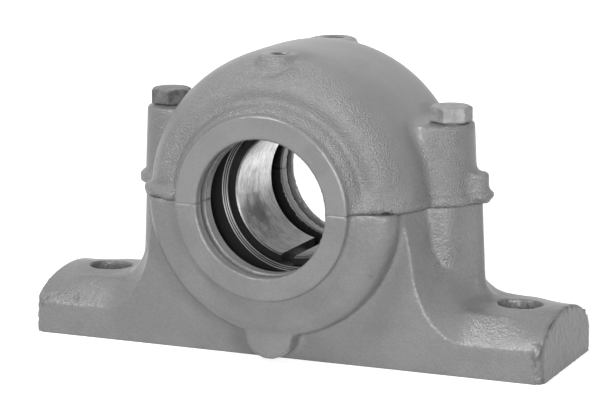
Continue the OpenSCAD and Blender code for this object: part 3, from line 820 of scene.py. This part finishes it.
pillar_foot = hump(out, *FOOT_OUT) * hump(at[:, 2], *FOOT_UP) * hump(side, *FOOT_SIDE)
at = averaged(base_skin, at, 0.6 * pillar_foot, FOOT_ROUNDS, normals_of(base_skin))
upright = (out > 0.130) & (at[:, 2] < FOOT_EDGE - 0.001)
at = averaged(base_skin, at, np.where(machined | upright, 0.0, 0.5), 2)
set_points(base_skin, at)

up = normals_of(base_skin)[:, 2]
across = np.clip(1 - (at[:, 1] / FOOT_HALF_WIDTH) ** 2, 0.0, 1.0)
crown = FOOT_EDGE + FOOT_RISE * across ** CROWN_POWER
share = (0.4 + 0.6 * smooth_step(out, *CROWN_FULL)) * smooth_step(out, *CROWN_START)
share *= smooth_step(up, 0.1, 0.4)
share *= (at[:, 2] > FOOT_EDGE - 0.002) & (at[:, 2] < FOOT_TOP)
at[:, 2] += share * (crown - at[:, 2])
set_points(base_skin, at)
print("base points", len(at))

# %% [markdown]
# The right foot has been knocked about: its end face is rasped, and the edge round it is chipped, most
# at the corners. Both are small moves inwards by a random amount, so the casting never grows past its
# CAD size.

# %% Chips and rough ends of the base
CHIP_DEPTH = 1.7 * MM
RASP_DEPTH = 0.35 * MM
END_FACE = (0.1368, 0.1392)
BORDER_WIDTH = (0.0006, 0.0028)
CORNER_SIDE = (0.0345, 0.038)
CORNER_OUT = (0.1355, 0.138)

right_end = (at[:, 0] > 0.1) * smooth_step(at[:, 0], *END_FACE)
edge_gap = np.abs(at[:, 2] - crown) + 4.0 * np.clip(0.1375 - at[:, 0], 0.0, 1.0)
border = (1 - smooth_step(edge_gap, *BORDER_WIDTH)) * (out > 0.130)
border = border * (at[:, 2] > FOOT_EDGE - 0.002)
corner = smooth_step(side, *CORNER_SIDE) * smooth_step(out, *CORNER_OUT)
near_end = np.flatnonzero(out > 0.128)
chip = np.zeros(len(at))
chip[near_end] = np.clip(rough(at[near_end], 260.0, 1) + 0.15, 0.0, 1.0)
rasp = np.zeros(len(at))
rasp[near_end] = rough(at[near_end], 420.0, 2) + 0.6 * rough(at[near_end], 900.0, 3)
bite = CHIP_DEPTH * chip * np.maximum(border, 0.8 * corner)
bite += RASP_DEPTH * np.clip(rasp + 0.3, 0.0, 1.0) * right_end
at -= normals_of(base_skin) * bite[:, None]

at[at[:, 2] < 0.5 * MM, 2] = 0.0
finish_casting(base_skin, at, "base", base_finish)
print("base skin done")

# %% [markdown]
# The cap gets the same treatment. Its hollows are filled where a pillar meets the dome, where the lug
# meets its pillar and round the ring, and its rim loses its sharp corners. The faces of the two top
# pads stay as they are.

# %% Cap casting
CAP_VOXEL = 0.0011
PAD_OFFSET = 0.033
# Valleys between the pillars and the dome, outwards, upwards and round the shaft
VALLEY_OUT = ((0.040, 0.050), (0.070, 0.080))
VALLEY_UP = (0.088, 0.095)
VALLEY_ROUND = (0.058, 0.064)
# The lug on the right pillar, and the foot of the ring
LUG_OUT = (0.084, 0.087)
LUG_UP = (0.0850, 0.0870)
RING_FOOT = ((0.0475, 0.0485), (0.053, 0.057))
RING_FOOT_SIDE = (0.049, 0.052)
FILL_ROUNDS = 40

cap_skin = even_copy("cap_skin", "cap", CAP_VOXEL)
at = points_of(cap_skin)
out = np.abs(at[:, 0])
side = np.abs(at[:, 1])
high = at[:, 2]
round_shaft = np.hypot(at[:, 0], high - SHAFT_HEIGHT)
bolt_seat = (np.hypot(out - 0.0775, at[:, 1]) < 0.0095) & (high > 0.117)
pad_face = (np.hypot(at[:, 0], side - PAD_OFFSET) < 0.0135) & (high > 0.1475)
machined = turned_faces(round_shaft, side) | (high < JOINT_HEIGHT + SNAP) | bolt_seat | pad_face

valley = hump(out, *VALLEY_OUT) * smooth_step(high, *VALLEY_UP) * smooth_step(round_shaft, *VALLEY_ROUND)
lug = 0.5 * smooth_step(at[:, 0], *LUG_OUT) * smooth_step(high, *LUG_UP)
ring_foot = hump(round_shaft, *RING_FOOT) * smooth_step(side, *RING_FOOT_SIDE)
fill = np.maximum.reduce([valley, lug, 0.3 * ring_foot])
at = averaged(cap_skin, at, 0.6 * fill, FILL_ROUNDS, normals_of(cap_skin))
at = averaged(cap_skin, at, np.where(machined, 0.0, 0.5), 1)
print("cap points", len(at))

# %% [markdown]
# The end of the dome has a hollow round the ring and a full shoulder outside it. A short table says how
# far the skin moves along the shaft at each distance from the shaft's line. The near pad is kept out of
# this, and a shallow groove goes round its front.

# %% End of the dome
# Distance from the shaft's line, and how far the dome's end moves outwards there
DOME_END = (
    (0.0480, 0.0),
    (0.0500, -0.0011),
    (0.0520, -0.0018),
    (0.0540, -0.0013),
    (0.0560, -0.0001),
    (0.0580, 0.0010),
    (0.0600, 0.0018),
    (0.0620, 0.0021),
    (0.0640, 0.0020),
    (0.0660, 0.0015),
    (0.0680, 0.0008),
    (0.0705, 0.0),
)
HOLLOW_RADII, HOLLOW_MOVES = zip(*DOME_END)
HOLLOW_UP = (0.0845, 0.0960)
NEAR_PAD_PLACE = (-0.002, -PAD_OFFSET)
PAD_EDGE = (0.0112, 0.0150)
PAD_HEIGHT = 0.140
PAD_GROOVE = ((0.0105, 0.0118), (0.0122, 0.0140))
PAD_GROOVE_DEPTH = 0.5 * MM
# The outer wall of the ring leans out towards the dome
RING_LEAN = 1.5 * MM

end_skin = (round_shaft > 0.0661) | (side + round_shaft > 0.1093 + 0.66 * (round_shaft - 0.065))
end_skin &= (round_shaft > 0.0478) & (side > 0.030)
from_pad = np.hypot(at[:, 0] - NEAR_PAD_PLACE[0], at[:, 1] - NEAR_PAD_PLACE[1])
off_pad = smooth_step(from_pad, *PAD_EDGE)
off_pad[high < PAD_HEIGHT] = 1.0
move = off_pad * np.interp(round_shaft, HOLLOW_RADII, HOLLOW_MOVES) * smooth_step(high, *HOLLOW_UP)
at[:, 1] += np.sign(at[:, 1]) * (move * end_skin)

ring_wall = (round_shaft > 0.0462) & (round_shaft < 0.0505) & (side > 0.0500) & (high > 0.0803)
spread = RING_LEAN * smooth_step(RING_FACE - side, 0.0003, 0.0060) * smooth_step(high, 0.081, 0.095)
spread *= ring_wall
at[:, 0] *= 1 + spread / round_shaft
at[:, 2] += (at[:, 2] - SHAFT_HEIGHT) * spread / round_shaft
at = averaged(cap_skin, at, 0.5 * end_skin * smooth_step(high, 0.0850, 0.0890) * off_pad, 9)

pad_groove = hump(from_pad, *PAD_GROOVE) * (high > PAD_HEIGHT)
pad_groove *= smooth_step(side - PAD_OFFSET, 0.0, 0.006)
at -= normals_of(cap_skin) * (PAD_GROOVE_DEPTH * pad_groove)[:, None]
print("dome end moved by up to", max(HOLLOW_MOVES), "m")

# %% [markdown]
# The lower edge of the rim has a chip on the right of the ring. A few points there are pushed in by a
# random amount, least at the border of the chip.

# %% Chipped rim
RIM_CHIP_PLACE = (0.0620, -0.0490, 0.0803)
RIM_CHIP_STRETCH = (0.35, 1.0, 0.8)
RIM_CHIP_REACH = (0.002, 0.006)
RIM_CHIP_DEPTH = 1.2 * MM

chip_gap = np.linalg.norm((at - np.array(RIM_CHIP_PLACE)) * RIM_CHIP_STRETCH, axis=1)
lower_rim = np.flatnonzero(chip_gap < RIM_CHIP_REACH[1])
dent = np.zeros(len(at))
dent[lower_rim] = np.clip(rough(at[lower_rim], 300.0, 5) + 0.25, 0.0, 1.0)
dent[lower_rim] *= 1 - smooth_step(chip_gap[lower_rim], *RIM_CHIP_REACH)
at -= normals_of(cap_skin) * (RIM_CHIP_DEPTH * dent)[:, None]
finish_casting(cap_skin, at, "cap", cap_finish)
print("cap skin done")

# %% [markdown]
# Blender may change the looks of a part, and never its size.

# %% Finish
import json
